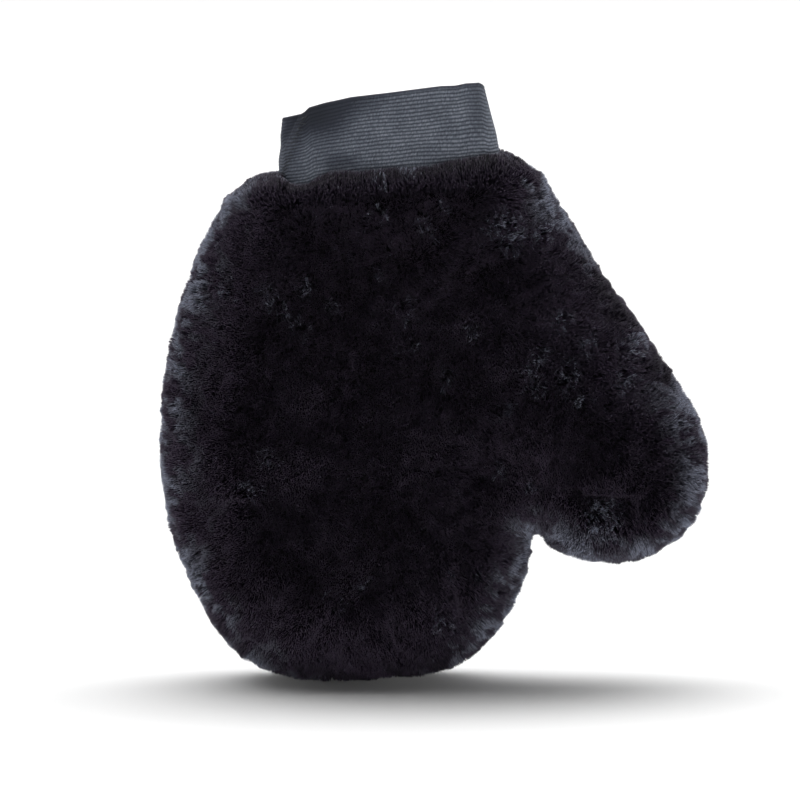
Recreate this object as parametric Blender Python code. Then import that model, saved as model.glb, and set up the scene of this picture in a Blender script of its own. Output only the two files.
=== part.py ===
"""Plush wash mitt with a thumb and an elastic wrist cuff.

Metres, +Z up. The origin is the centre of the cuff's mouth, where the hand goes in. The fingers point to -Z,
the thumb is on the +X side, and the front panel faces -Y. The mitt is modelled as it is on a hand, filled out.

Two plush panels and two lining panels are sewn together round their outline and left open at the neck, where
the elastic band is sewn in. Every layer of the mitt is a shell about one spine line, which lies at the same
distance inside the outline all the way round: a layer is given by how far it stands from the spine sideways
and how far to the front or the rear.
"""

import math

import bmesh
import bpy
from mathutils import Vector

# Plush panels
PILE = 0.012
BACKING = 0.0016
HALF_THICKNESS = 0.029
SPINE_INSET = HALF_THICKNESS
GAP = 0.0003

# Outline of the pile, as (x, z). The hand side runs from the neck down the little-finger side, round the
# fingertips and up to the crotch, and the thumb side runs on from the crotch round the thumb to the neck.
HAND_SIDE = [
    (-0.064, 0.000),
    (-0.064, -0.022),
    (-0.071, -0.044),
    (-0.087, -0.076),
    (-0.099, -0.120),
    (-0.103, -0.165),
    (-0.097, -0.208),
    (-0.079, -0.243),
    (-0.048, -0.268),
    (-0.010, -0.2734),
    (0.032, -0.265),
    (0.057, -0.243),
    (0.069, -0.214),
]
THUMB_SIDE = [
    (0.0785, -0.2086),
    (0.088, -0.2145),
    (0.104, -0.217),
    (0.122, -0.2140),
    (0.139, -0.203),
    (0.149, -0.181),
    (0.146, -0.150),
    (0.124, -0.113),
    (0.100, -0.077),
    (0.081, -0.048),
    (0.069, -0.022),
    (0.067, 0.000),
]
CROTCH = (0.0722, -0.2058)
CROTCH_RADIUS = 0.003
CROTCH_ARC_DEGREES = (172, 42)
NECK_EXTENSION = 0.045
POINT_SPACING = 0.009
SHELL_STEPS = 6

# The neck's edge slopes up towards the thumb: a plane through this point, rising by this much per unit of x
NECK_EDGE_Z = -0.031
NECK_SLOPE = 0.085

# Overlocked seams, as (inner, outer) distances inside the outline, and their half thickness
PLUSH_SEAM = (PILE + BACKING + GAP, 0.0176)
LINING_SEAM = (0.0179, 0.0206)
PLUSH_SEAM_HALF = 0.0011
LINING_SEAM_HALF = 0.0007

# Lining
LINING = 0.0008
LINING_SIDEWAYS = 0.0060

# Cuff: elastic webbing, wider at the neck than at the mouth, leaning away from the thumb
BAND = 0.0016
CUFF_BOTTOM_Z = -0.044
CUFF_BOTTOM_X = 0.0038
CUFF_BOTTOM_HALF = (0.0530, 0.0150)
CUFF_TOP_HALF = (0.0467, 0.0115)
CUFF_TOP_SLOPE = 0.166
CUFF_OVERLAP = 0.015
CUFF_TUCK_LENGTH = 0.030
CUFF_STATIONS = 84
CUFF_ROWS = 6

# Overlocked seam under the cuff's lower edge
OPENING_SEAM_HEIGHT = 0.003
OPENING_SEAM_WIDTH = 0.0034
OPENING_SEAM_STATIONS = 56

# Zigzag stitching that closes the cuff's overlap
STITCH_RADIUS = 0.00035
STITCH_WIDTH = 0.003
STITCH_PITCH = 0.0022
STITCH_FROM_END = 0.004
STITCH_START = 0.42
STITCH_END = 0.96

# name: (colour, roughness)
MATERIALS = {
    "black_plush": ((0.006, 0.005, 0.007), 0.9),
    "black_elastic": ((0.055, 0.062, 0.078), 0.8),
    "black_lining": ((0.012, 0.012, 0.014), 0.6),
    "black_thread": ((0.020, 0.021, 0.025), 0.7),
}


def clear_scene():
    for obj in list(bpy.data.objects):
        bpy.data.objects.remove(obj)


def material(name):
    """The Principled BSDF material of this name, made once."""
    found = bpy.data.materials.get(name)
    if found:
        return found
    colour, roughness = MATERIALS[name]
    made = bpy.data.materials.new(name)
    made.use_nodes = True
    shader = made.node_tree.nodes["Principled BSDF"]
    shader.inputs["Base Color"].default_value = (*colour, 1)
    shader.inputs["Roughness"].default_value = roughness
    shader.inputs["Metallic"].default_value = 0
    return made


def add_object(name, data, material_name):
    obj = bpy.data.objects.new(name, data)
    bpy.context.scene.collection.objects.link(obj)
    data.materials.append(material(material_name))
    return obj


def mix(a, b, t):
    return a + (b - a) * t


def curve_through(points, closed=False):
    """A smooth Catmull-Rom line through the points, as many closely spaced points."""
    fine = 24
    count = len(points)
    spans = count if closed else count - 1
    line = []
    for i in range(spans):
        if closed:
            before, start, end, after = (Vector(points[(i + k) % count]) for k in (-1, 0, 1, 2))
        else:
            start, end = Vector(points[i]), Vector(points[i + 1])
            before = Vector(points[i - 1]) if i else start * 2 - end
            after = Vector(points[i + 2]) if i + 2 < count else end * 2 - start
        for k in range(fine):
            t = k / fine
            line.append(
                0.5
                * (
                    2 * start
                    + (end - before) * t
                    + (2 * before - 5 * start + 4 * end - after) * t**2
                    + (3 * start - before - 3 * end + after) * t**3
                )
            )
    return line if closed else line + [Vector(points[-1])]


def arc(centre, radius, start_degrees, end_degrees, count):
    """Points on an arc, both ends included."""
    made = []
    for k in range(count):
        angle = math.radians(mix(start_degrees, end_degrees, k / (count - 1)))
        made.append(Vector(centre) + radius * Vector((math.cos(angle), math.sin(angle))))
    return made


def spaced(line, spacing):
    """The line again with evenly spaced points, both ends included."""
    lengths = [0.0]
    for a, b in zip(line, line[1:]):
        lengths.append(lengths[-1] + (b - a).length)
    count = max(1, round(lengths[-1] / spacing))
    made, at = [], 0
    for k in range(count + 1):
        wanted = lengths[-1] * k / count
        while at < len(line) - 2 and lengths[at + 1] < wanted:
            at += 1
        share = (wanted - lengths[at]) / (lengths[at + 1] - lengths[at])
        made.append(line[at].lerp(line[at + 1], share))
    return made


def outline():
    """The closed outline of the pile, with its neck carried up as a dome that the neck's edge later cuts off."""
    left, right = HAND_SIDE[0], THUMB_SIDE[-1]
    half_neck = (right[0] - left[0]) / 2
    dome_centre = ((left[0] + right[0]) / 2, NECK_EXTENSION)
    hand = spaced(curve_through(HAND_SIDE), POINT_SPACING)
    crotch = arc(CROTCH, CROTCH_RADIUS, *CROTCH_ARC_DEGREES, 6)
    thumb = spaced(curve_through(THUMB_SIDE), POINT_SPACING)
    rise = spaced([Vector(right), Vector((right[0], NECK_EXTENSION))], POINT_SPACING)[1:]
    dome = arc(dome_centre, half_neck, 0, 180, 13)[1:]
    fall = spaced([Vector((left[0], NECK_EXTENSION)), Vector(left)], POINT_SPACING)[1:-1]
    return hand + crotch + thumb + rise + dome + fall


def inward_normals(points):
    """The inward normal at each point of a closed outline that runs anticlockwise."""
    made = []
    for i, point in enumerate(points):
        before = (point - points[i - 1]).normalized()
        after = (points[(i + 1) % len(points)] - point).normalized()
        tangent = (before + after).normalized()
        made.append(Vector((-tangent.y, tangent.x)))
    return made


OUTLINE = outline()
INWARD = inward_normals(OUTLINE)


def ring_at(inset, y):
    """The outline moved inward by inset, at depth y."""
    return [Vector((p.x + n.x * inset, y, p.y + n.y * inset)) for p, n in zip(OUTLINE, INWARD)]


def shell_rings(sideways, outward, side):
    """Rings of a half shell from the parting plane to its flat face: sideways and outward are its distances
    from the spine, and side is -1 for the front and 1 for the rear."""
    rings = []
    for k in range(SHELL_STEPS + 1):
        angle = math.pi / 2 * k / SHELL_STEPS
        depth = max(outward * math.sin(angle), GAP / 2)
        rings.append(ring_at(SPINE_INSET - sideways * math.cos(angle), side * depth))
    return rings


def loft(bm, rings, closed):
    """Skins rings of equal count. It closes back on the first ring, or caps both end rings."""
    made = [[bm.verts.new(p) for p in ring] for ring in rings]
    count = len(made[0])
    pairs = list(zip(made, made[1:]))
    if closed:
        pairs.append((made[-1], made[0]))
    for lower, upper in pairs:
        for i in range(count):
            j = (i + 1) % count
            bm.faces.new((lower[i], lower[j], upper[j], upper[i]))
    if not closed:
        bm.faces.new(made[0])
        bm.faces.new(made[-1])


def neck_plane(below_edge):
    """A point on the neck's plane, moved down by below_edge, and the plane's normal."""
    return Vector((0, 0, NECK_EDGE_Z - below_edge)), Vector((-NECK_SLOPE, 0, 1)).normalized()


def cut_above(bm, point, normal):
    """Removes what is above the plane and closes the cut."""
    everything = bm.verts[:] + bm.edges[:] + bm.faces[:]
    bmesh.ops.bisect_plane(
        bm, geom=everything, dist=1e-6, plane_co=point, plane_no=normal, clear_outer=True
    )
    bmesh.ops.holes_fill(bm, edges=[e for e in bm.edges if e.is_boundary])


def finished(bm, name, material_name):
    bmesh.ops.recalc_face_normals(bm, faces=bm.faces)
    mesh = bpy.data.meshes.new(name)
    bm.to_mesh(mesh)
    bm.free()
    obj = add_object(name, mesh, material_name)
    mesh.shade_smooth()
    mesh.set_sharp_from_angle(angle=math.radians(40))
    return obj


def panel(name, side, outer, inner, below_edge, material_name):
    """Half of a bag: outer and inner are (sideways, outward) distances from the spine."""
    bm = bmesh.new()
    rings = shell_rings(*outer, side)[::-1] + shell_rings(*inner, side)
    loft(bm, rings, closed=False)
    cut_above(bm, *neck_plane(below_edge))
    return finished(bm, name, material_name)


def plush_panels():
    outer = (HALF_THICKNESS, HALF_THICKNESS)
    cavity = HALF_THICKNESS - PILE - BACKING
    for name, side in (("front_plush_panel", -1), ("rear_plush_panel", 1)):
        panel(name, side, outer, (cavity, cavity), 0, "black_plush")


def lining_depth_below_edge():
    """How far the lining's upper edge lies below the neck's edge, under the cuff and its seam."""
    return NECK_EDGE_Z - CUFF_BOTTOM_Z + OPENING_SEAM_HEIGHT + 2 * GAP


def lining_panels():
    outward = HALF_THICKNESS - PILE - BACKING - GAP
    outer = (LINING_SIDEWAYS, outward)
    inner = (LINING_SIDEWAYS - LINING, outward - LINING)
    below = lining_depth_below_edge()
    for name, side in (("front_lining_panel", -1), ("rear_lining_panel", 1)):
        panel(name, side, outer, inner, below, "black_lining")


def seam(name, insets, half):
    """An overlocked seam allowance that runs round the outline in the parting plane."""
    bm = bmesh.new()
    near, far = insets
    corners = ((near, -half), (near, half), (far, half), (far, -half))
    loft(bm, [ring_at(inset, y) for inset, y in corners], closed=True)
    cut_above(bm, *neck_plane(lining_depth_below_edge()))
    return finished(bm, name, "black_thread")


def stadium_point(along, half_width, half_depth):
    """A point on a flat oval at the distance along it from the left end of its front side, and its outward
    normal. The oval is half_width by half_depth and runs right, round and back along the rear."""
    straight = 2 * (half_width - half_depth)
    turn = math.pi * half_depth
    along %= 2 * (straight + turn)
    if along < straight:
        return Vector((along - straight / 2, -half_depth)), Vector((0, -1))
    if along < straight + turn:
        angle = (along - straight) / half_depth - math.pi / 2
        centre = Vector((straight / 2, 0))
    elif along < 2 * straight + turn:
        return Vector((straight * 1.5 + turn - along, half_depth)), Vector((0, 1))
    else:
        angle = (along - 2 * straight - turn) / half_depth + math.pi / 2
        centre = Vector((-straight / 2, 0))
    normal = Vector((math.cos(angle), math.sin(angle)))
    return centre + half_depth * normal, normal


def stadium_length(half_width, half_depth):
    return 4 * (half_width - half_depth) + 2 * math.pi * half_depth


def cuff_point(share, inward, height):
    """A point on the cuff: share of the way round from the join, distance inside its outer face, and height
    from 0 at the lower edge to 1 at the mouth."""
    half_width = mix(CUFF_BOTTOM_HALF[0], CUFF_TOP_HALF[0], height)
    half_depth = mix(CUFF_BOTTOM_HALF[1], CUFF_TOP_HALF[1], height)
    flat, normal = stadium_point(share * stadium_length(half_width, half_depth), half_width, half_depth)
    flat -= normal * inward
    slope = mix(NECK_SLOPE, CUFF_TOP_SLOPE, height)
    x = mix(CUFF_BOTTOM_X, 0, height) + flat.x
    z = mix(CUFF_BOTTOM_Z + NECK_SLOPE * CUFF_BOTTOM_X, 0, height) + slope * flat.x
    return Vector((x, flat.y, z))


def smoothstep(t):
    t = min(max(t, 0), 1)
    return t * t * (3 - 2 * t)


def tuck(share):
    """How far the band has moved inward, so that its second end lies under its first."""
    length = stadium_length(*CUFF_TOP_HALF)
    start = 1 - CUFF_TUCK_LENGTH / length
    return (BAND + GAP) * smoothstep((share - start) / (1 - start - GAP / length))


def cuff_band():
    """One length of webbing, wound round once with its second end tucked under the first."""
    end = 1 + CUFF_OVERLAP / stadium_length(*CUFF_TOP_HALF)
    rings = []
    for station in range(CUFF_STATIONS + 1):
        share = end * station / CUFF_STATIONS
        inward = tuck(share)
        heights = [row / CUFF_ROWS for row in range(CUFF_ROWS + 1)]
        outer = [cuff_point(share, inward, h) for h in heights]
        inner = [cuff_point(share, inward + BAND, h) for h in reversed(heights)]
        rings.append(outer + inner)
    bm = bmesh.new()
    loft(bm, rings, closed=False)
    return finished(bm, "cuff_band", "black_elastic")


def opening_seam():
    """The overlocked edges of cuff, plush and lining, as a ring under the cuff's lower edge."""
    half_width, half_depth = CUFF_BOTTOM_HALF
    length = stadium_length(half_width, half_depth)
    rings = []
    for station in range(OPENING_SEAM_STATIONS):
        flat, normal = stadium_point(length * station / OPENING_SEAM_STATIONS, half_width, half_depth)
        ring = []
        for inward, drop in ((0, 0), (1, 0), (1, 1), (0, 1)):
            at = flat - normal * OPENING_SEAM_WIDTH * inward
            x = CUFF_BOTTOM_X + at.x
            ring.append(Vector((x, at.y, CUFF_BOTTOM_Z + NECK_SLOPE * x - GAP - drop * OPENING_SEAM_HEIGHT)))
        rings.append(ring)
    bm = bmesh.new()
    loft(bm, rings, closed=True)
    return finished(bm, "opening_overlock", "black_thread")


def join_stitching():
    """A zigzag of thread up the outer end of the cuff's overlap."""
    length = stadium_length(*CUFF_TOP_HALF)
    band_height = -CUFF_BOTTOM_Z
    stitches = int((STITCH_END - STITCH_START) * band_height / STITCH_PITCH * 2)
    points = []
    for k in range(stitches + 1):
        across = STITCH_FROM_END + STITCH_WIDTH / 2 * (-1 if k % 2 else 1)
        height = mix(STITCH_START, STITCH_END, k / stitches)
        points.append(cuff_point(across / length, -GAP - STITCH_RADIUS, height))
    data = bpy.data.curves.new("cuff_join_stitching", "CURVE")
    data.dimensions = "3D"
    data.bevel_depth = STITCH_RADIUS
    data.bevel_resolution = 1
    data.use_fill_caps = True
    spline = data.splines.new("POLY")
    spline.points.add(len(points) - 1)
    for target, point in zip(spline.points, points):
        target.co = (*point, 1)
    return add_object("cuff_join_stitching", data, "black_thread")


def main():
    clear_scene()
    plush_panels()
    lining_panels()
    seam("plush_seam_overlock", PLUSH_SEAM, PLUSH_SEAM_HALF)
    seam("lining_seam_overlock", LINING_SEAM, LINING_SEAM_HALF)
    opening_seam()
    cuff_band()
    join_stitching()


main()
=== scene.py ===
import math

import bmesh
import bpy
import numpy as np
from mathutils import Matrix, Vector, kdtree
from mathutils.bvhtree import BVHTree


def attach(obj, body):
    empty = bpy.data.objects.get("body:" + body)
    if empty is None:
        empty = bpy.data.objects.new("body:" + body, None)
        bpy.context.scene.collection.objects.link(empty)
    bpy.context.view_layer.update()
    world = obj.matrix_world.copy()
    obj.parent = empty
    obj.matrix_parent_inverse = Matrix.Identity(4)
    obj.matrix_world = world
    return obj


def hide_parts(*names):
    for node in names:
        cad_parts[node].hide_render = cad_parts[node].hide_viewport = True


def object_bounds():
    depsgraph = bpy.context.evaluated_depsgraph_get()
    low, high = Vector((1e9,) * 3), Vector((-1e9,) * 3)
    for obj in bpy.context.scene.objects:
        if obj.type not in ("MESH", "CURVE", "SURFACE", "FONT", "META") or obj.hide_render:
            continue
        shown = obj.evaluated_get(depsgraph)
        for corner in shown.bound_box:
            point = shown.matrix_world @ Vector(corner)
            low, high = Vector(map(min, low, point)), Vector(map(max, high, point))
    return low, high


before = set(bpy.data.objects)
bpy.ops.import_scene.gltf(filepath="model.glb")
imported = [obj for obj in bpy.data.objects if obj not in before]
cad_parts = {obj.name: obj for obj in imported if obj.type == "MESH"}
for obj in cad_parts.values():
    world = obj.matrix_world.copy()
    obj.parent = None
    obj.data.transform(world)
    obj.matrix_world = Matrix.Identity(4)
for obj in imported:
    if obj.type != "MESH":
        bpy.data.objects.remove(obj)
CAD_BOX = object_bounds()
FLOOR_Z = CAD_BOX[0][2] - 0.0004

# Plush: the pile stands on a knitted backing, whose inner side is the CAD panels' cavity wall
PILE = 0.012
BACKING = 0.0016
PARTING_GAP = 0.0004
SKIN_VOXEL = 0.004

# The neck's edge, a plane that slopes up towards the thumb, and how far below it the backing ends
NECK_EDGE_Z = -0.031
NECK_SLOPE = 0.085
NECK_DROP = 0.0085
NECK_TURN = 0.010

# Cuff: elastic webbing wound once round a flat oval, its second end tucked under its first
BAND = 0.0016
CUFF_BOTTOM_Z = -0.044
CUFF_BOTTOM_X = 0.0038
CUFF_BOTTOM_HALF = (0.0530, 0.0150)
CUFF_TOP_HALF = (0.0467, 0.0115)
CUFF_TOP_SLOPE = 0.166

BAKE_MAP = "OFBake"


def smoothstep(t):
    t = np.clip(t, 0, 1)
    return t * t * (3 - 2 * t)


def mix(a, b, t):
    return a + (b - a) * t


def unit(v):
    return v / np.maximum(np.linalg.norm(v, axis=-1, keepdims=True), 1e-12)


def neck_height(points):
    """How far each point is above the neck's edge, negative below it."""
    return points[..., 2] - NECK_EDGE_Z - NECK_SLOPE * points[..., 0]


def waves(points, wavelength, rng, count=20):
    """Smooth noise at the points, about -1 to 1, as a sum of plane waves in random directions."""
    total = np.zeros(len(points))
    for _ in range(count):
        direction = unit(rng.normal(size=3)) * 2 * math.pi / (wavelength * rng.uniform(0.7, 1.4))
        total += np.sin(points @ direction + rng.uniform(0, 2 * math.pi))
    return total / math.sqrt(count / 2)


def wave_vectors(points, wavelength, rng):
    return np.stack([waves(points, wavelength, rng) for _ in range(3)], axis=1)


def coordinates(mesh):
    points = np.zeros(len(mesh.vertices) * 3, np.float32)
    mesh.vertices.foreach_get("co", points)
    return points.reshape(-1, 3).astype(float)


def vertex_normals(mesh):
    normals = np.zeros(len(mesh.vertices) * 3, np.float32)
    mesh.vertices.foreach_get("normal", normals)
    return normals.reshape(-1, 3).astype(float)


def set_coordinates(mesh, points):
    mesh.vertices.foreach_set("co", points.astype(np.float32).reshape(-1))
    mesh.update()


def object_from(name, bm=None, mesh=None):
    if bm is not None:
        mesh = bpy.data.meshes.new(name)
        bm.to_mesh(mesh)
        bm.free()
    obj = bpy.data.objects.new(name, mesh)
    bpy.context.scene.collection.objects.link(obj)
    return obj


def modifier(obj, kind, **settings):
    made = obj.modifiers.new(kind.lower(), kind)
    for name, value in settings.items():
        setattr(made, name, value)
    return made


def applied(obj):
    """Applies the object's modifiers to its mesh."""
    graph = bpy.context.evaluated_depsgraph_get()
    mesh = bpy.data.meshes.new_from_object(obj.evaluated_get(graph))
    obj.modifiers.clear()
    obj.data = mesh
    return obj


def on_root(obj, slot, *replaced):
    """The piece rides on the one body and replaces these CAD nodes; the slot is not used."""
    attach(obj, "root")
    if replaced:
        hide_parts(*replaced)
    return obj


# Materials: their colours are in linear light
BACKING_COLOUR = (0.012, 0.011, 0.014)
LINING_COLOUR = (0.030, 0.029, 0.033)
OVERLOCK_COLOUR = (0.045, 0.044, 0.050)
STITCH_COLOUR = (0.050, 0.053, 0.062)
FLOOR_COLOUR = (0.92, 0.92, 0.92, 1)

# The pile's colours by tone: painted shade deep in the neck, upright pile, the start of the rim's painted
# sheen, and full painted sheen
BASE_TONE = 0.30
PILE_COLOURS = (
    (0.0, (0.003, 0.004, 0.006)),
    (BASE_TONE, (0.053, 0.038, 0.065)),
    (0.38, (0.053, 0.047, 0.065)),
    (1.0, (0.287, 0.309, 0.391)),
)
PILE_MOTTLE = 0.12

# The webbing's colours, from painted shade in its grooves to its lightest threads
WEBBING_COLOURS = (
    (0.18, (0.014, 0.016, 0.023)),
    (0.40, (0.026, 0.030, 0.044)),
    (0.66, (0.098, 0.111, 0.138)),
    (0.88, (0.261, 0.283, 0.335)),
)
WEBBING_DASH = 0.0007
WEBBING_HEATHER = 0.009


class Tree:
    """A node material's tree, with short ways to add nodes to it."""

    def __init__(self, name, roughness, specular):
        self.material = bpy.data.materials.new(name)
        self.material.use_nodes = True
        self.nodes = self.material.node_tree.nodes
        self.links = self.material.node_tree.links
        self.shader = self.nodes["Principled BSDF"]
        self.shader.inputs["Roughness"].default_value = roughness
        self.shader.inputs["Specular IOR Level"].default_value = specular

    def feed(self, target, value):
        """Links the target socket to a node's output, or sets it."""
        if isinstance(value, bpy.types.NodeSocket):
            self.links.new(value, target)
        else:
            target.default_value = value

    def add(self, kind, output, **inputs):
        node = self.nodes.new(kind)
        for name, value in inputs.items():
            self.feed(node.inputs[name.replace("_", " ")], value)
        return node.outputs[output]

    def maths(self, operation, *values):
        node = self.nodes.new("ShaderNodeMath")
        node.operation = operation
        for socket, value in zip(node.inputs, values):
            self.feed(socket, value)
        return node.outputs[0]

    def attribute(self, name):
        node = self.nodes.new("ShaderNodeAttribute")
        node.attribute_name = name
        return node.outputs["Fac"]

    def place(self):
        """Object coordinates, in metres."""
        return self.nodes.new("ShaderNodeTexCoord").outputs["Object"]

    def bake_map(self, across, along):
        """The piece's own map, stretched to across by along."""
        node = self.nodes.new("ShaderNodeUVMap")
        node.uv_map = BAKE_MAP
        return self.add("ShaderNodeMapping", 0, Vector=node.outputs["UV"], Scale=(across, along, 1))

    def noise(self, vector, scale, detail=2.0, roughness=0.5):
        return self.add(
            "ShaderNodeTexNoise", "Fac", Vector=vector, Scale=scale, Detail=detail, Roughness=roughness
        )

    def ramp(self, value, *stops):
        """Colours at positions along the value."""
        node = self.nodes.new("ShaderNodeValToRGB")
        elements = node.color_ramp.elements
        while len(elements) < len(stops):
            elements.new(1.0)
        for element, (position, colour) in zip(elements, stops):
            element.position = position
            element.color = (*colour, 1)
        self.feed(node.inputs["Fac"], value)
        return node.outputs["Color"]

    def finish(self, colour, height=None, distance=0.0002, strength=0.5):
        """Sets the colour, and bumps the surface by the height."""
        self.feed(self.shader.inputs["Base Color"], colour)
        if height is not None:
            bump = self.add("ShaderNodeBump", "Normal", Height=height, Distance=distance, Strength=strength)
            self.links.new(bump, self.shader.inputs["Normal"])
        return self.material


def pile_material():
    """Fibres: violet black where the pile stands upright; slate blue is painted sheen on the rim and spots,
    near black is painted shade at the neck.
    """
    tree = Tree("plush_pile", 0.50, 0.30)
    mottle = tree.noise(tree.place(), 380.0, 2.0)
    change = tree.maths("MULTIPLY_ADD", mottle, PILE_MOTTLE, -PILE_MOTTLE / 2)
    tone = tree.maths("ADD", tree.attribute("tone"), change)
    return tree.finish(tree.ramp(tone, *PILE_COLOURS))


def knit_material(name, colour, stitch):
    """A knitted cloth: rows of small stitches in two directions over a cloudy dye."""
    tree = Tree(name, 0.85, 0.2)
    place = tree.place()
    split = tree.nodes.new("ShaderNodeSeparateXYZ")
    tree.links.new(place, split.inputs[0])
    turn = 2 * math.pi / stitch
    wales = tree.maths("SINE", tree.maths("MULTIPLY", split.outputs["X"], turn))
    courses = tree.maths("SINE", tree.maths("MULTIPLY", split.outputs["Z"], turn * 0.8))
    stitches = tree.maths("MULTIPLY_ADD", tree.maths("MULTIPLY", wales, courses), 0.35, 0.5)
    dye = tree.noise(place, 160.0, 3.0)
    tone = tree.maths("MULTIPLY", stitches, tree.maths("ADD", dye, 0.5))
    dark = tuple(0.35 * c for c in colour)
    return tree.finish(tree.ramp(tone, (0.15, dark), (0.85, colour)), stitches, 0.0003, 0.6)


def thread_material(name, colour):
    """Spun thread: fine fibres across a slightly uneven dye."""
    tree = Tree(name, 0.65, 0.35)
    place = tree.place()
    fibres = tree.noise(place, 2600.0, 3.0, 0.6)
    tone = tree.maths("MULTIPLY", fibres, tree.maths("ADD", tree.noise(place, 240.0), 0.5))
    dark = tuple(0.3 * c for c in colour)
    return tree.finish(tree.ramp(tone, (0.2, dark), (0.75, colour)), fibres, 0.0001, 0.5)


def webbing_material(length):
    """Black elastic webbing: heathered threads along the ribs, and painted shade in the grooves between
    them.
    """
    tree = Tree("elastic_webbing", 0.75, 0.26)
    place = tree.bake_map(length / WEBBING_DASH, 2 * RIBS)
    dashes = tree.noise(place, 1.0, 2.0, 0.7)
    heather = tree.noise(tree.bake_map(length / WEBBING_HEATHER, 9.0), 1.0, 2.0)
    split = tree.nodes.new("ShaderNodeSeparateXYZ")
    tree.links.new(place, split.inputs[0])
    rib = tree.maths("ABSOLUTE", tree.maths("SINE", tree.maths("MULTIPLY", split.outputs["Y"], math.pi)))
    # Lighter on each rib's crown, darker in the groove: painted shade in the grooves
    crown = tree.maths("MULTIPLY", tree.maths("POWER", rib, 0.7), 0.36)
    thread = tree.maths("MULTIPLY_ADD", dashes, 0.56, tree.maths("MULTIPLY_ADD", heather, 0.20, crown))
    # The shade attribute holds painted shade from the front's folds, crease and dents, and a darker top
    # edge
    thread = tree.maths("MULTIPLY", thread, tree.attribute("shade"))
    return tree.finish(tree.ramp(thread, *WEBBING_COLOURS), dashes, 0.0002, 0.6)


def floor_material():
    tree = Tree("floor_white", 0.9, 0.1)
    return tree.finish(FLOOR_COLOUR)


# Plush backing
CREASE = math.radians(40)
WELD = 1e-6


def smooth_regions(bm, limit):
    """The faces of bm in groups that no edge sharper than limit parts, the largest area first."""
    bm.faces.ensure_lookup_table()
    taken = [False] * len(bm.faces)
    groups = []
    for first in bm.faces:
        if taken[first.index]:
            continue
        taken[first.index] = True
        group, todo = [], [first]
        while todo:
            face = todo.pop()
            group.append(face)
            for edge in face.edges:
                if edge.calc_face_angle(math.pi) > limit:
                    continue
                for other in edge.link_faces:
                    if not taken[other.index]:
                        taken[other.index] = True
                        todo.append(other)
        groups.append(group)
    return sorted(groups, key=lambda g: -sum(f.calc_area() for f in g))


def region_mesh(nodes, which, flip):
    """One mesh of the given smooth region of each node, welded across the parting plane."""
    made = bmesh.new()
    for node in nodes:
        bm = bmesh.new()
        bm.from_mesh(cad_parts[node].data)
        bmesh.ops.remove_doubles(bm, verts=bm.verts, dist=WELD)
        for face in sorted(smooth_regions(bm, CREASE)[which], key=lambda f: f.index):
            corners = [made.verts.new(v.co) for v in face.verts]
            made.faces.new(reversed(corners) if flip else corners)
        bm.free()
    bmesh.ops.remove_doubles(made, verts=made.verts, dist=PARTING_GAP)
    made.normal_update()
    return made


def cut_off(bm, point, normal):
    """Removes what lies beyond the plane."""
    geometry = bm.verts[:] + bm.edges[:] + bm.faces[:]
    bmesh.ops.bisect_plane(
        bm, geom=geometry, dist=WELD, plane_co=point, plane_no=normal, clear_outer=True
    )


def closed_skin():
    """The outer side of the plush backing, closed at the neck and evenly meshed."""
    bm = region_mesh(("front_plush_panel", "rear_plush_panel"), 1, flip=True)
    for vert in bm.verts:
        vert.co += vert.normal * BACKING
    bmesh.ops.holes_fill(bm, edges=[e for e in bm.edges if e.is_boundary])
    bmesh.ops.recalc_face_normals(bm, faces=bm.faces)
    wall = BVHTree.FromBMesh(bm)
    obj = object_from("skin", bm)
    modifier(obj, "REMESH", mode="VOXEL", voxel_size=SKIN_VOXEL)
    modifier(obj, "SMOOTH", iterations=4)
    applied(obj)
    for vert in obj.data.vertices:
        vert.co = wall.find_nearest(vert.co)[0]
    return obj


# Cloth simulation that rounds the skin out like a filled mitt
PUFF_PRESSURE = 4
PUFF_FRAMES = 20
PUFF_MOST = 0.003
PUFF_PINNED = 0.003
PUFF_FREE = 0.014


def puff_up(obj):
    """Inflates the skin as cloth, with its side seam and its neck held, and caps how far it moves."""
    rest = coordinates(obj.data)
    copy = obj.copy()
    copy.data = obj.data.copy()
    bpy.context.scene.collection.objects.link(copy)
    held = copy.vertex_groups.new(name="held")
    fixed = (np.abs(rest[:, 1]) < PUFF_PINNED) | (neck_height(rest) > -NECK_DROP - NECK_TURN)
    held.add(np.flatnonzero(fixed).tolist(), 1.0, "REPLACE")
    cloth = modifier(copy, "CLOTH")
    cloth.settings.vertex_group_mass = "held"
    cloth.settings.use_pressure = True
    cloth.settings.uniform_pressure_force = PUFF_PRESSURE
    cloth.settings.effector_weights.gravity = 0
    for number in range(1, PUFF_FRAMES + 1):
        bpy.context.scene.frame_set(number)
    graph = bpy.context.evaluated_depsgraph_get()
    moved = coordinates(copy.evaluated_get(graph).data) - rest
    bpy.context.scene.frame_set(1)
    bpy.data.objects.remove(copy)
    distance = np.linalg.norm(moved, axis=1, keepdims=True)
    moved *= np.minimum(1, PUFF_MOST / np.maximum(distance, 1e-9))
    moved *= smoothstep((np.abs(rest[:, 1:2]) - PUFF_PINNED) / (PUFF_FREE - PUFF_PINNED))
    set_coordinates(obj.data, rest + moved)


SHOULDER_RINGS = 4
SHOULDER_RISE = 0.15


def neck_loop(bm):
    """The vertices round the open neck, in order."""
    came = next(e for e in bm.edges if e.is_boundary)
    loop, at = [came.verts[0]], came.verts[1]
    while at is not loop[0]:
        loop.append(at)
        came = next(e for e in at.link_edges if e.is_boundary and e is not came)
        at = came.other_vert(at)
    return loop


def beside_cuff(point):
    """The nearest place on the cuff's lower outline to the point, at the point's height."""
    half_width, half_depth = CUFF_BOTTOM_HALF
    reach = half_width - half_depth
    centre = Vector((CUFF_BOTTOM_X + min(max(point.x - CUFF_BOTTOM_X, -reach), reach), 0))
    side = (point.xy - centre).normalized() * half_depth
    return Vector((centre.x + side.x, centre.y + side.y, point.z))


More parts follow.
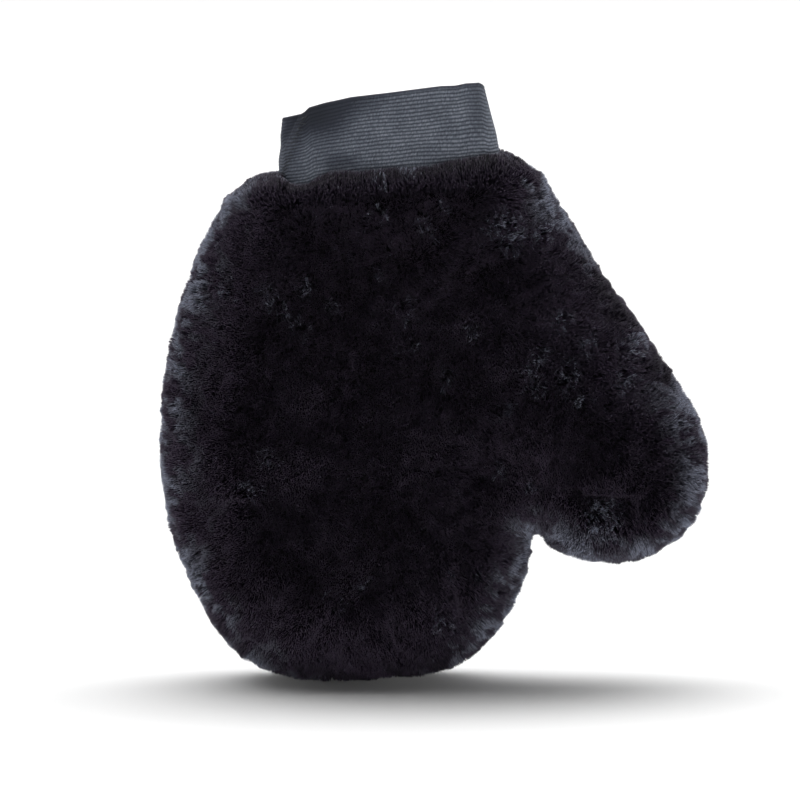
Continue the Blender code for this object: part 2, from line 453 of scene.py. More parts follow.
def open_neck(obj):
    """Opens the skin at the neck and draws its edge in over the shoulders to the cuff."""
    bm = bmesh.new()
    bm.from_mesh(obj.data)
    cut_off(bm, (0, 0, NECK_EDGE_Z - NECK_DROP), Vector((-NECK_SLOPE, 0, 1)).normalized())
    loop = neck_loop(bm)
    places = [(v.co.copy(), beside_cuff(v.co)) for v in loop]
    for k in range(1, SHOULDER_RINGS + 1):
        share = k / SHOULDER_RINGS
        ring = []
        for outer, inner in places:
            point = outer.lerp(inner, share)
            point.z += SHOULDER_RISE * (inner - outer).length * math.sin(math.pi / 2 * share)
            ring.append(bm.verts.new(point))
        for i in range(len(loop)):
            j = (i + 1) % len(loop)
            bm.faces.new((loop[i], loop[j], ring[j], ring[i]))
        loop = ring
    bmesh.ops.recalc_face_normals(bm, faces=bm.faces)
    bm.to_mesh(obj.data)
    bm.free()
    obj.data.shade_smooth()


def half_sheet(name, source, side, thickness, material):
    """The front (side -1) or rear (side 1) half of the source, as a sheet of this thickness inside it."""
    bm = bmesh.new()
    bm.from_mesh(source)
    cut_off(bm, (0, side * PARTING_GAP / 2, 0), (0, -side, 0))
    obj = object_from(name, bm)
    modifier(obj, "SOLIDIFY", thickness=thickness, offset=-1, use_even_offset=True)
    applied(obj)
    obj.data.shade_smooth()
    obj.data.materials.clear()
    obj.data.materials.append(material)
    return obj


# Pile
FIBRES = 560000
FIBRES_PER_PIECE = 33000
FIBRE_RADIUS = 0.00018
FIBRE_SHOULDER = 0.84
FIBRE_BOW = 0.06
FIBRE_SIDES = 3
ROOT_DEPTH = 0.0004
RIM_DENSITY = 1.3
TUFT_FIBRES = 8
TUFT_PULL = 0.12
TUFT_PULL_AT_RIM = 0.30

# The share of its tone that a fibre has at the root, at the shoulder's three corners and at the tip; the
# darker root is painted shade deep in the pile
FIBRE_TONES_WITH_ROOT_SHADE = (0.15, 0.85, 0.85, 0.85, 1.0)


def scatter(mesh, count, rng):
    """Random points on the mesh with their normals, denser where it curves and its pile fans out."""
    mesh.calc_loop_triangles()
    corners = np.zeros(len(mesh.loop_triangles) * 3, np.int32)
    mesh.loop_triangles.foreach_get("vertices", corners)
    corners = corners.reshape(-1, 3)
    points, normals = coordinates(mesh), vertex_normals(mesh)
    a, b, c = (points[corners[:, k]] for k in range(3))
    area = np.linalg.norm(np.cross(b - a, c - a), axis=1) / 2
    sideways = 1 - np.abs(normals[corners].mean(1)[:, 1])
    chance = area * (1 + RIM_DENSITY * sideways)
    which = rng.choice(len(area), count, p=chance / chance.sum())
    u, v = rng.random((2, count, 1))
    over = u + v > 1
    u, v = np.where(over, 1 - u, u), np.where(over, 1 - v, v)
    place = a[which] + u * (b - a)[which] + v * (c - a)[which]
    na, nb, nc = (normals[corners[which, k]] for k in range(3))
    return place, unit(na + u * (nb - na) + v * (nc - na))


def tufted(roots, tips, strength, rng):
    """The tips drawn together into small tufts."""
    centres = rng.choice(len(roots), len(roots) // TUFT_FIBRES, replace=False)
    tree = kdtree.KDTree(len(centres))
    for i in centres:
        tree.insert(roots[i], int(i))
    tree.balance()
    nearest = np.array([tree.find(p)[1] for p in roots])
    pull = strength * rng.uniform(0.2, 1.0, len(roots))[nearest]
    return tips + (tips[nearest] - tips) * pull[:, None]


# The rim starts where less than this share of the normal points to the front or rear, and is full a span on
RIM_START = 0.97
RIM_SPAN = 0.55


def rim_share(normals):
    """From 0 on the flat faces to 1 along the side seam."""
    return smoothstep((RIM_START - np.abs(normals[:, 1])) / RIM_SPAN)


# How high the pile stands at the neck, by x
NECK_PILE = (
    (-0.064, 0.0066),
    (-0.054, 0.0078),
    (-0.046, 0.0078),
    (-0.0405, 0.0032),
    (-0.0330, 0.0028),
    (-0.0290, 0.0056),
    (-0.0210, 0.0080),
    (-0.0080, 0.0070),
    (0.0060, 0.0070),
    (0.0144, 0.0064),
    (0.0223, 0.0063),
    (0.0320, 0.0082),
    (0.0450, 0.0092),
    (0.0540, 0.0094),
    (0.0600, 0.0070),
    (0.0680, 0.0063),
)

# Where single tufts lie over on the front and carry a painted sheen, as (x, z) and radius
BRUSHED_SPOTS = (
    ((-0.0006, -0.0423), 0.0032),
    ((-0.0006, -0.0527), 0.0028),
    ((0.0120, -0.0350), 0.0070),
    ((0.0194, -0.0606), 0.0030),
    ((0.0270, -0.0510), 0.0022),
    ((0.0526, -0.0587), 0.0060),
    ((0.0564, -0.0654), 0.0050),
    ((0.0687, -0.0644), 0.0045),
    ((0.0668, -0.0320), 0.0060),
    ((0.0763, -0.0490), 0.0075),
    ((-0.0500, -0.0880), 0.0030),
    ((-0.0470, -0.0935), 0.0036),
    ((-0.0334, -0.0863), 0.0030),
    ((-0.0358, -0.1047), 0.0026),
    ((-0.0234, -0.0943), 0.0022),
    ((0.0074, -0.0920), 0.0022),
    ((0.0106, -0.1000), 0.0018),
    ((0.0126, -0.1120), 0.0022),
    ((0.0019, -0.0790), 0.0016),
    ((-0.0775, -0.0887), 0.0055),
    ((-0.0660, -0.0880), 0.0030),
    ((-0.0700, -0.0680), 0.0040),
    ((-0.0870, -0.1240), 0.0034),
    ((0.0418, -0.1035), 0.0024),
    ((0.0666, -0.1218), 0.0040),
    ((0.0708, -0.1168), 0.0030),
    ((0.0700, -0.1310), 0.0028),
    ((0.0840, -0.1267), 0.0048),
    ((0.0890, -0.1384), 0.0028),
    ((0.0907, -0.1135), 0.0036),
    ((0.0790, -0.1030), 0.0034),
    ((0.1090, -0.1170), 0.0050),
    ((0.1074, -0.1310), 0.0044),
    ((0.1356, -0.1480), 0.0070),
    ((0.1360, -0.1330), 0.0060),
    ((0.1007, -0.1920), 0.0075),
    ((0.0800, -0.2007), 0.0060),
    ((0.0558, -0.1708), 0.0024),
    ((-0.0500, -0.1640), 0.0030),
    ((-0.0610, -0.1780), 0.0035),
)

# The small spots with painted sheen strewn over both faces, and the noise that breaks a spot up from its
# edge to its middle
RANDOM_SPOTS = 26
RANDOM_SPOT_SIZES = (0.0012, 0.0030)
SPOT_GRAIN = 0.0016
SPOT_LEVELS = (1.2, -0.3)


def spots(roots, rng):
    """How strongly each root is in a brushed spot: the listed ones in front, random ones on both faces."""
    front = [(x, -1, z, radius) for (x, z), radius in BRUSHED_SPOTS]
    places = roots[rng.choice(len(roots), RANDOM_SPOTS, replace=False)]
    scattered = [(x, np.sign(y), z, rng.uniform(*RANDOM_SPOT_SIZES)) for x, y, z in places]
    inside = np.zeros(len(roots))
    for x, side, z, radius in front + scattered:
        distance = np.hypot(roots[:, 0] - x, roots[:, 2] - z)
        inside = np.maximum(inside, (roots[:, 1] * side > 0) * np.exp(-((distance / radius) ** 2)))
    return inside * (waves(roots, SPOT_GRAIN, rng) > mix(*SPOT_LEVELS, inside))


# Where the rim has more painted sheen, or less of it and so painted shade: (x, z), radius and change
PAINTED_SHEEN_CHANGES = (
    ((0.105, -0.212), 0.036, 0.14),
    ((0.064, -0.222), 0.028, 0.24),
    ((0.042, -0.248), 0.014, 0.20),
    ((-0.006, -0.258), 0.044, -0.66),
    ((0.098, -0.088), 0.026, -0.50),
    ((0.119, -0.114), 0.022, -0.56),
    ((0.131, -0.128), 0.013, -0.35),
    ((0.077, -0.047), 0.012, 0.30),
    ((-0.056, -0.040), 0.014, 0.45),
    ((0.008, -0.035), 0.013, 0.40),
)
LEAST_PAINTED_SHEEN = -0.18
MOST_PAINTED_SHEEN = 0.74

# The painted sheen's patches: their two wavelengths, the least and the most painted sheen in them, and
# where they start
PATCHES = 0.017
SMALL_PATCHES = 0.006
PATCH_PAINTED_SHEEN = (0.02, 0.66)
PATCH_START = -0.8
PATCH_SPAN = 1.8


def rim_painted_sheen(roots, rng):
    """How much painted sheen the pile has along the rim, in patches; below zero it is painted shade."""
    patch = waves(roots, PATCHES, rng) + 0.8 * waves(roots, SMALL_PATCHES, rng)
    share = mix(*PATCH_PAINTED_SHEEN, smoothstep((patch - PATCH_START) / PATCH_SPAN))
    for (x, z), radius, change in PAINTED_SHEEN_CHANGES:
        share += change * np.exp(-(((roots[:, 0] - x) ** 2 + (roots[:, 2] - z) ** 2) / radius**2))
    return np.clip(share, LEAST_PAINTED_SHEEN, MOST_PAINTED_SHEEN)


# Where the pile stands longer or shorter: (x, z), radius and change in length
PILE_CHANGES = (
    ((0.003, -0.262), 0.005, -0.0020),
    ((0.034, -0.256), 0.026, 0.0026),
    ((-0.060, -0.254), 0.024, 0.0046),
    ((0.138, -0.178), 0.034, 0.0026),
    ((0.070, -0.232), 0.020, 0.0016),
    ((0.088, -0.092), 0.016, -0.0020),
    ((-0.083, -0.066), 0.020, -0.0014),
)

# The pile's length in shares of PILE, how much it varies, and how evenly it is cut
FACE_LENGTH = 1.03
RIM_LENGTH = 0.05
UNEVEN_RIM = 0.03
UNEVEN_FACE = 0.01
CUT = (0.93, 1.03)
NECK_CUT = (0.82, 1.08)


def pile_lengths(roots, rim, up, rng):
    """How long the fibre on each root is."""
    fine, broad = waves(roots, 0.007, rng), waves(roots, 0.02, rng)
    length = PILE * (FACE_LENGTH + RIM_LENGTH * rim + UNEVEN_RIM * rim * fine + UNEVEN_FACE * broad)
    length *= rng.uniform(*CUT, len(roots))
    for (x, z), radius, change in PILE_CHANGES:
        distance = np.hypot(roots[:, 0] - x, roots[:, 2] - z)
        length += change * rim * np.exp(-((distance / radius) ** 2))
    x, height = np.array(NECK_PILE).T
    neck_length = np.interp(roots[:, 0], x, height) * rng.uniform(*NECK_CUT, len(roots))
    return mix(length, neck_length, up)


# How the pile leans, as wavelength and strength: everywhere, along the rim, and in the brushed spots
LEANS = ((0.035, 0.05), (0.009, 0.03))
RIM_LEANS = ((0.020, 0.09), (0.006, 0.09))
SPOT_LEAN = (0.004, 0.42)
STRAY = 0.04
NECK_STIFFNESS = 0.6
NECK_RISE = 0.85

# How the fibres' tone changes: painted shade at the neck, painted sheen in a spot, from fibre to fibre, and
# for a few light ones
NECK_PAINTED_SHADE = -0.19
SPOT_PAINTED_SHEEN = 0.95
TONE_SPREAD = 0.02
NECK_SPREAD = 0.05
PAINTED_SHEEN_SPREAD = 0.35
LIGHT_FIBRES = 0.003
LIGHT_TONE = 0.5


def grow_pile(mesh, rng):
    """Roots, middles and tips of the fibres, and each fibre's tone."""
    roots, normals = scatter(mesh, FIBRES, rng)
    rim = rim_share(normals)
    below = -neck_height(roots) - NECK_DROP
    up = smoothstep(1 - below / NECK_TURN)
    length = pile_lengths(roots, rim, up, rng)
    spot = spots(roots, rng)
    lean = np.zeros_like(roots)
    for wavelength, strength in LEANS:
        lean += strength * wave_vectors(roots, wavelength, rng)
    for wavelength, strength in RIM_LEANS:
        lean += strength * rim[:, None] * wave_vectors(roots, wavelength, rng)
    wavelength, strength = SPOT_LEAN
    lean += strength * spot[:, None] * wave_vectors(roots, wavelength, rng)
    lean += rng.normal(scale=STRAY, size=roots.shape)
    lean *= 1 - NECK_STIFFNESS * up[:, None]
    rise = NECK_RISE * up * smoothstep(np.abs(normals[:, 1]) * 3)
    direction = unit(mix(normals, np.array([0, 0, 1.0]), rise[:, None]) + lean)
    tips = roots + direction * length[:, None]
    tips = tufted(roots, tips, TUFT_PULL + TUFT_PULL_AT_RIM * np.maximum(rim, spot), rng)
    middles = roots + normals * (length * FIBRE_BOW)[:, None] + (tips - roots) * FIBRE_SHOULDER
    # The rim's painted sheen, less of it at the neck
    painted_sheen = rim**0.6 * rim_painted_sheen(roots, rng) * (1 - 0.5 * up)
    # Painted shade at the neck, painted sheen in the brushed spots
    tone = BASE_TONE + painted_sheen + NECK_PAINTED_SHADE * up + SPOT_PAINTED_SHEEN * spot
    tone += LIGHT_TONE * (rng.random(len(roots)) < LIGHT_FIBRES)
    spread = TONE_SPREAD + NECK_SPREAD * up + PAINTED_SHEEN_SPREAD * np.maximum(painted_sheen, 0)
    tone += rng.normal(size=len(roots)) * spread
    for points in (middles, tips):
        points[:, 2] = np.maximum(points[:, 2], FLOOR_Z + rng.uniform(0.0005, 0.0012, len(points)))
    return roots - normals * ROOT_DEPTH, middles, tips, np.clip(tone, 0, 1)


def fibre_cells(count):
    """Bake map places of each fibre's root, shoulder and tip: one cell of a square grid to a fibre."""
    side = math.ceil(math.sqrt(count))
    at = np.arange(count)
    corner = np.stack([at % side, at // side], axis=1)
    inside = np.array([(0.5, 0.1), (0.1, 0.7), (0.5, 0.75), (0.9, 0.7), (0.5, 0.95)])
    return (corner[:, None] + inside[None]) / side


def fibre_mesh(name, roots, middles, tips, tone, rng):
    """Closed three-sided fibres, each drawn to a point at the root and at the tip."""
    count = len(roots)
    axis = unit(tips - roots)
    side = unit(np.cross(axis, rng.normal(size=axis.shape)))
    other = np.cross(axis, side)
    radius = FIBRE_RADIUS * rng.uniform(0.75, 1.25, (count, 1))
    ring = []
    for k in range(FIBRE_SIDES):
        angle = 2 * math.pi * k / FIBRE_SIDES
        ring.append(middles + radius * (side * math.cos(angle) + other * math.sin(angle)))
    vertices = np.stack([roots, *ring, tips], axis=1)
    per_fibre = vertices.shape[1]
    faces = np.array([(0, 2, 1), (0, 3, 2), (0, 1, 3), (1, 2, 4), (2, 3, 4), (3, 1, 4)])
    corners = (np.arange(count)[:, None, None] * per_fibre + faces[None]).reshape(-1)
    total = len(corners) // 3
    mesh = bpy.data.meshes.new(name)
    mesh.vertices.add(count * per_fibre)
    mesh.vertices.foreach_set("co", vertices.astype(np.float32).reshape(-1))
    mesh.loops.add(len(corners))
    mesh.loops.foreach_set("vertex_index", corners.astype(np.int32))
    mesh.polygons.add(total)
    mesh.polygons.foreach_set("loop_start", np.arange(0, total * 3, 3, dtype=np.int32))
    mesh.update(calc_edges=True)
    bake_map = mesh.uv_layers.new(name=BAKE_MAP)
    cells = fibre_cells(count).reshape(-1, 2)[corners]
    bake_map.data.foreach_set("uv", cells.astype(np.float32).reshape(-1))
    # Each fibre darker towards its root: painted shade deep in the pile
    along = np.array(FIBRE_TONES_WITH_ROOT_SHADE)
    values = mesh.attributes.new("tone", "FLOAT", "POINT")
    values.data.foreach_set("value", (tone[:, None] * along[None]).astype(np.float32).reshape(-1))
    mesh.shade_smooth()
    return object_from(name, mesh=mesh)


def make_pile(mesh):
    """The pile's pieces, by the panel that they stand on."""
    rng = np.random.default_rng(11)
    fibres = grow_pile(mesh, rng)
    roots = fibres[0]
    material = pile_material()
    pieces = {}
    for side, name in ((-1, "front"), (1, "rear")):
        chosen = np.flatnonzero(roots[:, 1] * side >= 0)
        chosen = chosen[np.argsort(roots[chosen, 2], kind="stable")]
        parts = math.ceil(len(chosen) / FIBRES_PER_PIECE)
        pieces[name] = []
        for k, share in enumerate(np.array_split(chosen, parts)):
            piece = fibre_mesh(f"{name}_pile_{k + 1}", *(part[share] for part in fibres), rng)
            piece.data.materials.append(material)
            pieces[name].append(on_root(piece, "black_plush"))
    return pieces


BACKING_STITCH = 0.0016


def make_plush():
    """The two backing panels with the pile on them."""
    skin = closed_skin()
    puff_up(skin)
    open_neck(skin)
    pile = make_pile(skin.data)
    material = knit_material("plush_backing", BACKING_COLOUR, BACKING_STITCH)
    for side, name in ((-1, "front"), (1, "rear")):
        panel = half_sheet(f"{name}_backing", skin.data, side, BACKING, material)
        on_root(panel, "black_plush", f"{name}_plush_panel")
    bpy.data.objects.remove(skin)


# Lining
LINING = 0.0008
LINING_WRINKLE = 0.0006
LINING_STITCH = 0.0007


def make_lining():
    """The two lining panels inside the backing, softly wrinkled."""
    material = knit_material("lining_tricot", LINING_COLOUR, LINING_STITCH)
    rng = np.random.default_rng(3)
    for name in ("front", "rear"):
        obj = object_from(f"{name}_lining", region_mesh((f"{name}_lining_panel",), 0, flip=False))
        modifier(obj, "SUBSURF", levels=2, subdivision_type="SIMPLE")
        applied(obj)
        points, normals = coordinates(obj.data), vertex_normals(obj.data)
        wrinkle = LINING_WRINKLE * (1 + waves(points, 0.016, rng, 12) / 2)
        set_coordinates(obj.data, points - normals * wrinkle[:, None])
        modifier(obj, "SOLIDIFY", thickness=LINING, offset=-1)
        applied(obj)
        obj.data.shade_smooth()
        obj.data.materials.clear()
        obj.data.materials.append(material)
        on_root(obj, "black_lining", f"{name}_lining_panel")


# Overlocked seams
SEAM_VOXEL = 0.0009
SEAM_LOOP = 0.0024
SEAM_RELIEF = 0.00035


def make_seams():
    """Each overlocked edge as a rounded rope of thread loops."""
    material = thread_material("overlock_thread", OVERLOCK_COLOUR)
    rng = np.random.default_rng(7)
    for node in ("plush_seam_overlock", "lining_seam_overlock", "opening_overlock"):
        obj = object_from(f"{node}_thread", mesh=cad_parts[node].data.copy())
        modifier(obj, "REMESH", mode="VOXEL", voxel_size=SEAM_VOXEL)
        modifier(obj, "SMOOTH", iterations=3)
        applied(obj)
        points, normals = coordinates(obj.data), vertex_normals(obj.data)
        loops = np.sin((points[:, 0] + points[:, 1] + points[:, 2]) * 2 * math.pi / SEAM_LOOP)
        relief = SEAM_RELIEF * (loops + 0.5 * waves(points, 0.006, rng, 8)) / 2
        set_coordinates(obj.data, points + normals * relief[:, None])
        obj.data.shade_smooth()
        obj.data.materials.clear()
        obj.data.materials.append(material)
        on_root(obj, "black_thread", node)


# Cuff
CUFF_OVERLAP = 0.015
CUFF_TUCK_LENGTH = 0.030
CUFF_LEAST_EDGE = 0.0004
CUFF_EDGE_SHARE = 0.014
TUCK_GAP = 0.0003
JOIN_SHIFT = 0.0025
JOIN_SLANT = 0.0195
RIBS = 27
RIB_DEPTH = 0.00030
OUTER_ROWS_PER_RIB = 6
INNER_ROWS_PER_RIB = 3
CUFF_COLUMNS = 340
RIB_WANDER = 0.12
CUFF_SLACK = 0.00012
CUFF_NOISE_HEIGHT = 0.05
CUFF_FLARE = 1.5
REAR_EDGE_SHARE = 0.4
REAR_DROP = 0.0034

# Height of the mouth's edge on the front, by x
MOUTH_EDGE = (
    (-0.0467, -0.0116),
    (-0.0456, -0.0102),
    (-0.0366, -0.0081),
    (-0.0350, -0.0070),
    (-0.0333, -0.0052),
    (-0.0262, -0.0031),
    (-0.0138, -0.0003),
    (0.0042, 0.0018),
    (0.0270, 0.0047),
    (0.0336, 0.0049),
    (0.0384, 0.0059),
    (0.0445, 0.0061),
    (0.0467, 0.0048),
)

# Painted shade on the webbing's front, where its folds, crease and dents turn from the light: (x, z),
# radii, turn in degrees and how much
CUFF_PAINTED_SHADES = (
    ((-0.0300, -0.0085), (0.0130, 0.0100), 0, 0.66),
    ((-0.0140, -0.0030), (0.0160, 0.0050), 10, 0.35),
    ((-0.0430, -0.0180), (0.0060, 0.0160), 0, 0.35),
    ((-0.0186, -0.0293), (0.0090, 0.0040), 0, 0.25),
    ((0.0440, -0.0020), (0.0050, 0.0120), 0, 0.20),
)
# How much darker the band is along its top edge, the height where that starts and the span over which it
# grows
TOP_EDGE_DARKENING = 0.35
TOP_EDGE_START = 0.965
TOP_EDGE_FADE = 0.02

# Soft dents in the front: centre (x, z), radii, turn in degrees and depth
CUFF_DENTS = (
    ((-0.0400, -0.0050), (0.0170, 0.0200), 0, 0.0024),
    ((-0.0400, -0.0130), (0.0150, 0.0028), 62, 0.0016),
    ((-0.0190, -0.0290), (0.0110, 0.0040), 20, 0.0016),
    ((0.0120, -0.0130), (0.0300, 0.0070), 25, 0.0007),
    ((0.0350, -0.0230), (0.0140, 0.0060), -30, 0.0006),
)


def stadium_length(half_width, half_depth):
    return 4 * (half_width - half_depth) + 2 * math.pi * half_depth


def stadium(along, half_width, half_depth):
    """Points on a flat oval and their outward normals, at the distances along it from the left end of its
    front side, running right, round and back along the rear."""
    straight = 2 * (half_width - half_depth)
    turn = math.pi * half_depth
    along = along % (2 * (straight + turn))
    right = np.clip(along - straight, 0, turn) / half_depth
    left = np.clip(along - 2 * straight - turn, 0, turn) / half_depth
    angle = right + left - math.pi / 2
    normal = np.stack([np.cos(angle), np.sin(angle)], axis=-1)
    run = np.clip(along, 0, straight) - np.clip(along - straight - turn, 0, straight)
    centre = np.stack([run - straight / 2, np.zeros_like(run)], axis=-1)
    return centre + np.asarray(half_depth)[..., None] * normal, normal


def bump_at(x, z, centre, radii, turn):
    """A smooth bump from 0 to 1 over a turned oval."""
    c, s = math.cos(math.radians(turn)), math.sin(math.radians(turn))
    dx, dz = x - centre[0], z - centre[1]
    return np.exp(-(((dx * c + dz * s) / radii[0]) ** 2) - ((dz * c - dx * s) / radii[1]) ** 2)


def cuff_points(share, inward, height):
    """Points on the cuff: share of the way round from the join, distance inside its outer face, and height
    from 0 at the lower edge to 1 at the mouth."""
    half_width = mix(CUFF_BOTTOM_HALF[0], CUFF_TOP_HALF[0], height**CUFF_FLARE)
    half_depth = mix(CUFF_BOTTOM_HALF[1], CUFF_TOP_HALF[1], height)
    along = share * stadium_length(half_width, half_depth) - JOIN_SHIFT - JOIN_SLANT * (1 - height)
    flat, normal = stadium(along, half_width, half_depth)
    flat = flat - normal * inward[..., None]
    across, y = flat[..., 0], flat[..., 1]
    x = mix(CUFF_BOTTOM_X, 0, height) + across
    edge_x, edge_z = np.array(MOUTH_EDGE).T
    front_edge = np.interp(across, edge_x, edge_z) - CUFF_TOP_SLOPE * across
    rear_edge = REAR_EDGE_SHARE * front_edge - REAR_DROP
    edge = mix(front_edge, rear_edge, smoothstep(y / half_depth))
    slope = mix(NECK_SLOPE, CUFF_TOP_SLOPE, height)
    lower_z = CUFF_BOTTOM_Z + NECK_SLOPE * CUFF_BOTTOM_X
    z = mix(lower_z, 0, height) + slope * across + edge * np.sqrt(height)
    front = smoothstep(-y / half_depth * 1.5)
    for centre, radii, turn, depth in CUFF_DENTS:
        y = y + front * depth * bump_at(x, z, centre, radii, turn)
    return np.stack([x, y, z], axis=-1)


def cuff_painted_shade_and_edge(points, height):
    """How light the webbing is at each point: painted shade on the front's folds, crease and dents, and a
    darker top edge; 1 where nothing darkens it.
    """
    shade = 1 - TOP_EDGE_DARKENING * smoothstep((height - TOP_EDGE_START) / TOP_EDGE_FADE)
    for centre, radii, turn, darker in CUFF_PAINTED_SHADES:
        front = points[..., 1] < 0
        shade = shade * (1 - darker * front * bump_at(points[..., 0], points[..., 2], centre, radii, turn))
    return shade


def rib_height(height):
    """How far the ribs stand out, from 0 in a groove to 1 on a rib's crown."""
    return np.sqrt(np.abs(np.sin(math.pi * RIBS * height)))


def edge_thinning(height):
    """How much each face of the band draws in towards its rounded edges."""
    from_edge = np.minimum(height, 1 - height) / CUFF_EDGE_SHARE
    return CUFF_LEAST_EDGE * (1 - smoothstep(from_edge))


def make_cuff():
    """The webbing band as one closed strip, wound from the join round to its tucked end."""
    rng = np.random.default_rng(5)
    length = stadium_length(*CUFF_TOP_HALF)
    end = 1 + CUFF_OVERLAP / length
    share = np.linspace(0, end, CUFF_COLUMNS + 1)
    outer = np.linspace(0, 1, RIBS * OUTER_ROWS_PER_RIB + 1)
    inner = np.linspace(1, 0, RIBS * INNER_ROWS_PER_RIB + 1)
    height = np.concatenate([outer, inner])
    outer_depth = (1 - rib_height(outer)) * RIB_DEPTH + edge_thinning(outer)
    inner_depth = BAND - (1 - rib_height(inner)) * RIB_DEPTH - edge_thinning(inner)
    depth = np.concatenate([outer_depth, inner_depth])
    tuck_start = 1 - CUFF_TUCK_LENGTH / length
    tuck = (BAND + TUCK_GAP) * smoothstep((share - tuck_start) / (1 - tuck_start - TUCK_GAP / length))
    columns, rows = len(share), len(height)
    around, up = np.repeat(share[:, None], rows, 1), np.repeat(height[None], columns, 0)
    flat = np.stack([around * length, up * CUFF_NOISE_HEIGHT, np.zeros_like(up)], axis=-1).reshape(-1, 3)
    wander = RIB_WANDER / RIBS * waves(flat, 0.02, rng).reshape(columns, rows) * np.sin(math.pi * up)
    slack = CUFF_SLACK * waves(flat, 0.013, rng).reshape(columns, rows)
    points = cuff_points(around, tuck[:, None] + depth[None] + slack, up + wander)
    faces = []
    for i in range(columns - 1):
        for k in range(rows):
            n = (k + 1) % rows
            faces.append((i * rows + k, (i + 1) * rows + k, (i + 1) * rows + n, i * rows + n))
    faces.append(tuple(range(rows)))
    faces.append(tuple(reversed(range((columns - 1) * rows, columns * rows))))
    mesh = bpy.data.meshes.new("elastic_cuff")
    mesh.from_pydata(points.reshape(-1, 3).tolist(), [], faces)
    bake_map = mesh.uv_layers.new(name=BAKE_MAP)
    across = np.concatenate([outer * 0.5, 1 - inner * 0.5])
    place = np.stack([around / end, np.repeat(across[None], columns, 0)], axis=-1)
    loops = np.zeros(len(mesh.loops), np.int32)
    mesh.loops.foreach_get("vertex_index", loops)
    bake_map.data.foreach_set("uv", place.reshape(-1, 2)[loops].astype(np.float32).reshape(-1))
    # Painted shade and the darker top edge, for the material
    shade = mesh.attributes.new("shade", "FLOAT", "POINT")
    shade.data.foreach_set("value", cuff_painted_shade_and_edge(points, up).reshape(-1).astype(np.float32))
    mesh.update()
    mesh.shade_smooth()
    cuff = object_from("elastic_cuff", mesh=mesh)
    cuff.data.materials.append(webbing_material(length * end))
    on_root(cuff, "black_elastic", "cuff_band")
    make_stitching(length)


# Zigzag stitching that closes the cuff's overlap
STITCH_RADIUS = 0.00028
STITCH_WIDTH = 0.003
STITCH_PITCH = 0.0022
STITCH_FROM_END = 0.004
STITCH_START = 0.30
STITCH_END = 0.95


def make_stitching(length):
    """The zigzag thread over the cuff's overlap."""
    stitches = int((STITCH_END - STITCH_START) * -CUFF_BOTTOM_Z / STITCH_PITCH * 2)
    step = np.arange(stitches + 1)
    across = STITCH_FROM_END + STITCH_WIDTH / 2 * np.where(step % 2, -1, 1)
    height = mix(STITCH_START, STITCH_END, step / stitches)
    points = cuff_points(across / length, np.full(len(step), -0.6 * STITCH_RADIUS), height)
    data = bpy.data.curves.new("cuff_stitching", "CURVE")
    data.dimensions = "3D"
    data.bevel_depth = STITCH_RADIUS
    data.bevel_resolution = 2
    data.use_fill_caps = True
    spline = data.splines.new("POLY")
    spline.points.add(len(points) - 1)
    for target, point in zip(spline.points, points):
        target.co = (*point, 1)
    stitching = bpy.data.objects.new("cuff_stitching", data)
    bpy.context.scene.collection.objects.link(stitching)
    data.materials.append(thread_material("stitch_thread", STITCH_COLOUR))
    return on_root(stitching, "black_thread", "cuff_join_stitching")


# Studio
FLOOR_SIZE = 80


def make_stage():
    bpy.ops.mesh.primitive_plane_add(size=FLOOR_SIZE, location=(0, 0, FLOOR_Z))
    floor = bpy.context.object
    floor.name = "floor"
    floor.data.materials.append(floor_material())


# Studio light: a long soft box overhead, a little behind the mitt, and low bright walls all round.
# The box's middle and spread are in its own plane, a metre up
SOFT_BOX = 7.4
SOFT_BOX_MIDDLE = (0.06, 0.275)
SOFT_BOX_SPREAD = (1.1, 0.20)
WALLS = 2.3
WALL_TOP = 0.35


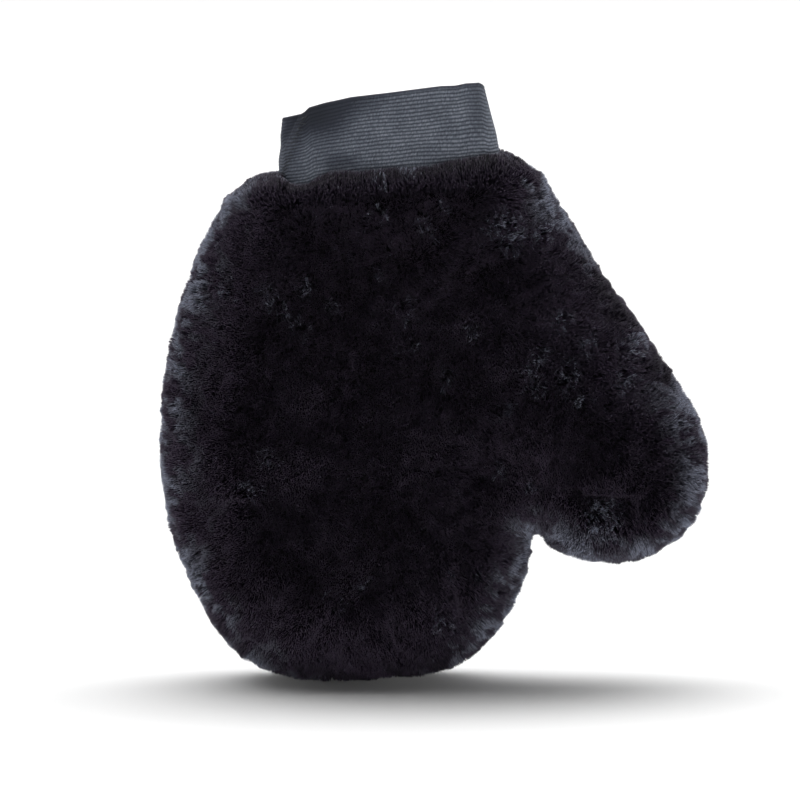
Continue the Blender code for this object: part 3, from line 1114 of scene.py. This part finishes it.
def make_studio():
    """White to the eye, and as light the soft box and the walls."""
    world = bpy.data.worlds.new("white_studio")
    world.use_nodes = True
    nodes, links = world.node_tree.nodes, world.node_tree.links
    direction = nodes.new("ShaderNodeTexCoord").outputs["Generated"]
    split = nodes.new("ShaderNodeSeparateXYZ")
    links.new(direction, split.inputs[0])

    def maths(operation, a, b):
        node = nodes.new("ShaderNodeMath")
        node.operation = operation
        for socket, value in zip(node.inputs, (a, b)):
            if isinstance(value, bpy.types.NodeSocket):
                links.new(value, socket)
            else:
                socket.default_value = value
        return node.outputs[0]

    height = maths("MAXIMUM", split.outputs["Z"], 0.001)
    falls = []
    for axis, middle, spread in zip("XY", SOFT_BOX_MIDDLE, SOFT_BOX_SPREAD):
        off = maths("SUBTRACT", maths("DIVIDE", split.outputs[axis], height), middle)
        falls.append(maths("POWER", maths("DIVIDE", off, spread), 2))
    box = maths("EXPONENT", maths("MULTIPLY", maths("ADD", *falls), -0.5), 0)
    walls = nodes.new("ShaderNodeMapRange")
    walls.interpolation_type = "SMOOTHSTEP"
    for name, number in {"From Min": 0, "From Max": WALL_TOP, "To Min": WALLS, "To Max": 0}.items():
        walls.inputs[name].default_value = number
    links.new(split.outputs["Z"], walls.inputs["Value"])
    seen = nodes.new("ShaderNodeLightPath")
    strength = nodes.new("ShaderNodeMix")
    strength.inputs["B"].default_value = 1.0
    links.new(seen.outputs["Is Camera Ray"], strength.inputs["Factor"])
    links.new(maths("ADD", walls.outputs["Result"], maths("MULTIPLY", box, SOFT_BOX)), strength.inputs["A"])
    background = nodes["Background"]
    links.new(strength.outputs["Result"], background.inputs["Strength"])
    background.inputs["Color"].default_value = (1, 1, 1, 1)
    bpy.context.scene.world = world
    bpy.context.scene.view_settings.view_transform = "Standard"


# Camera: it looks at the middle of the picture, a little above level
VIEW_CENTRE = (0.0084, 0.0, -0.141)
VIEW_WIDTH = 0.372
VIEW_ELEVATION = 8
LENS = 135
SENSOR = 36


def make_camera():
    distance = VIEW_WIDTH * LENS / SENSOR
    elevation = math.radians(VIEW_ELEVATION)
    data = bpy.data.cameras.new("camera")
    data.lens = LENS
    data.sensor_width = SENSOR
    camera = bpy.data.objects.new("camera", data)
    away = Vector((0, -math.cos(elevation), math.sin(elevation)))
    camera.location = Vector(VIEW_CENTRE) + away * distance
    camera.rotation_euler = away.to_track_quat("Z", "Y").to_euler()
    bpy.context.scene.collection.objects.link(camera)
    bpy.context.scene.camera = camera


make_camera()
make_stage()
make_studio()
make_lining()
make_plush()
make_seams()
make_cuff()
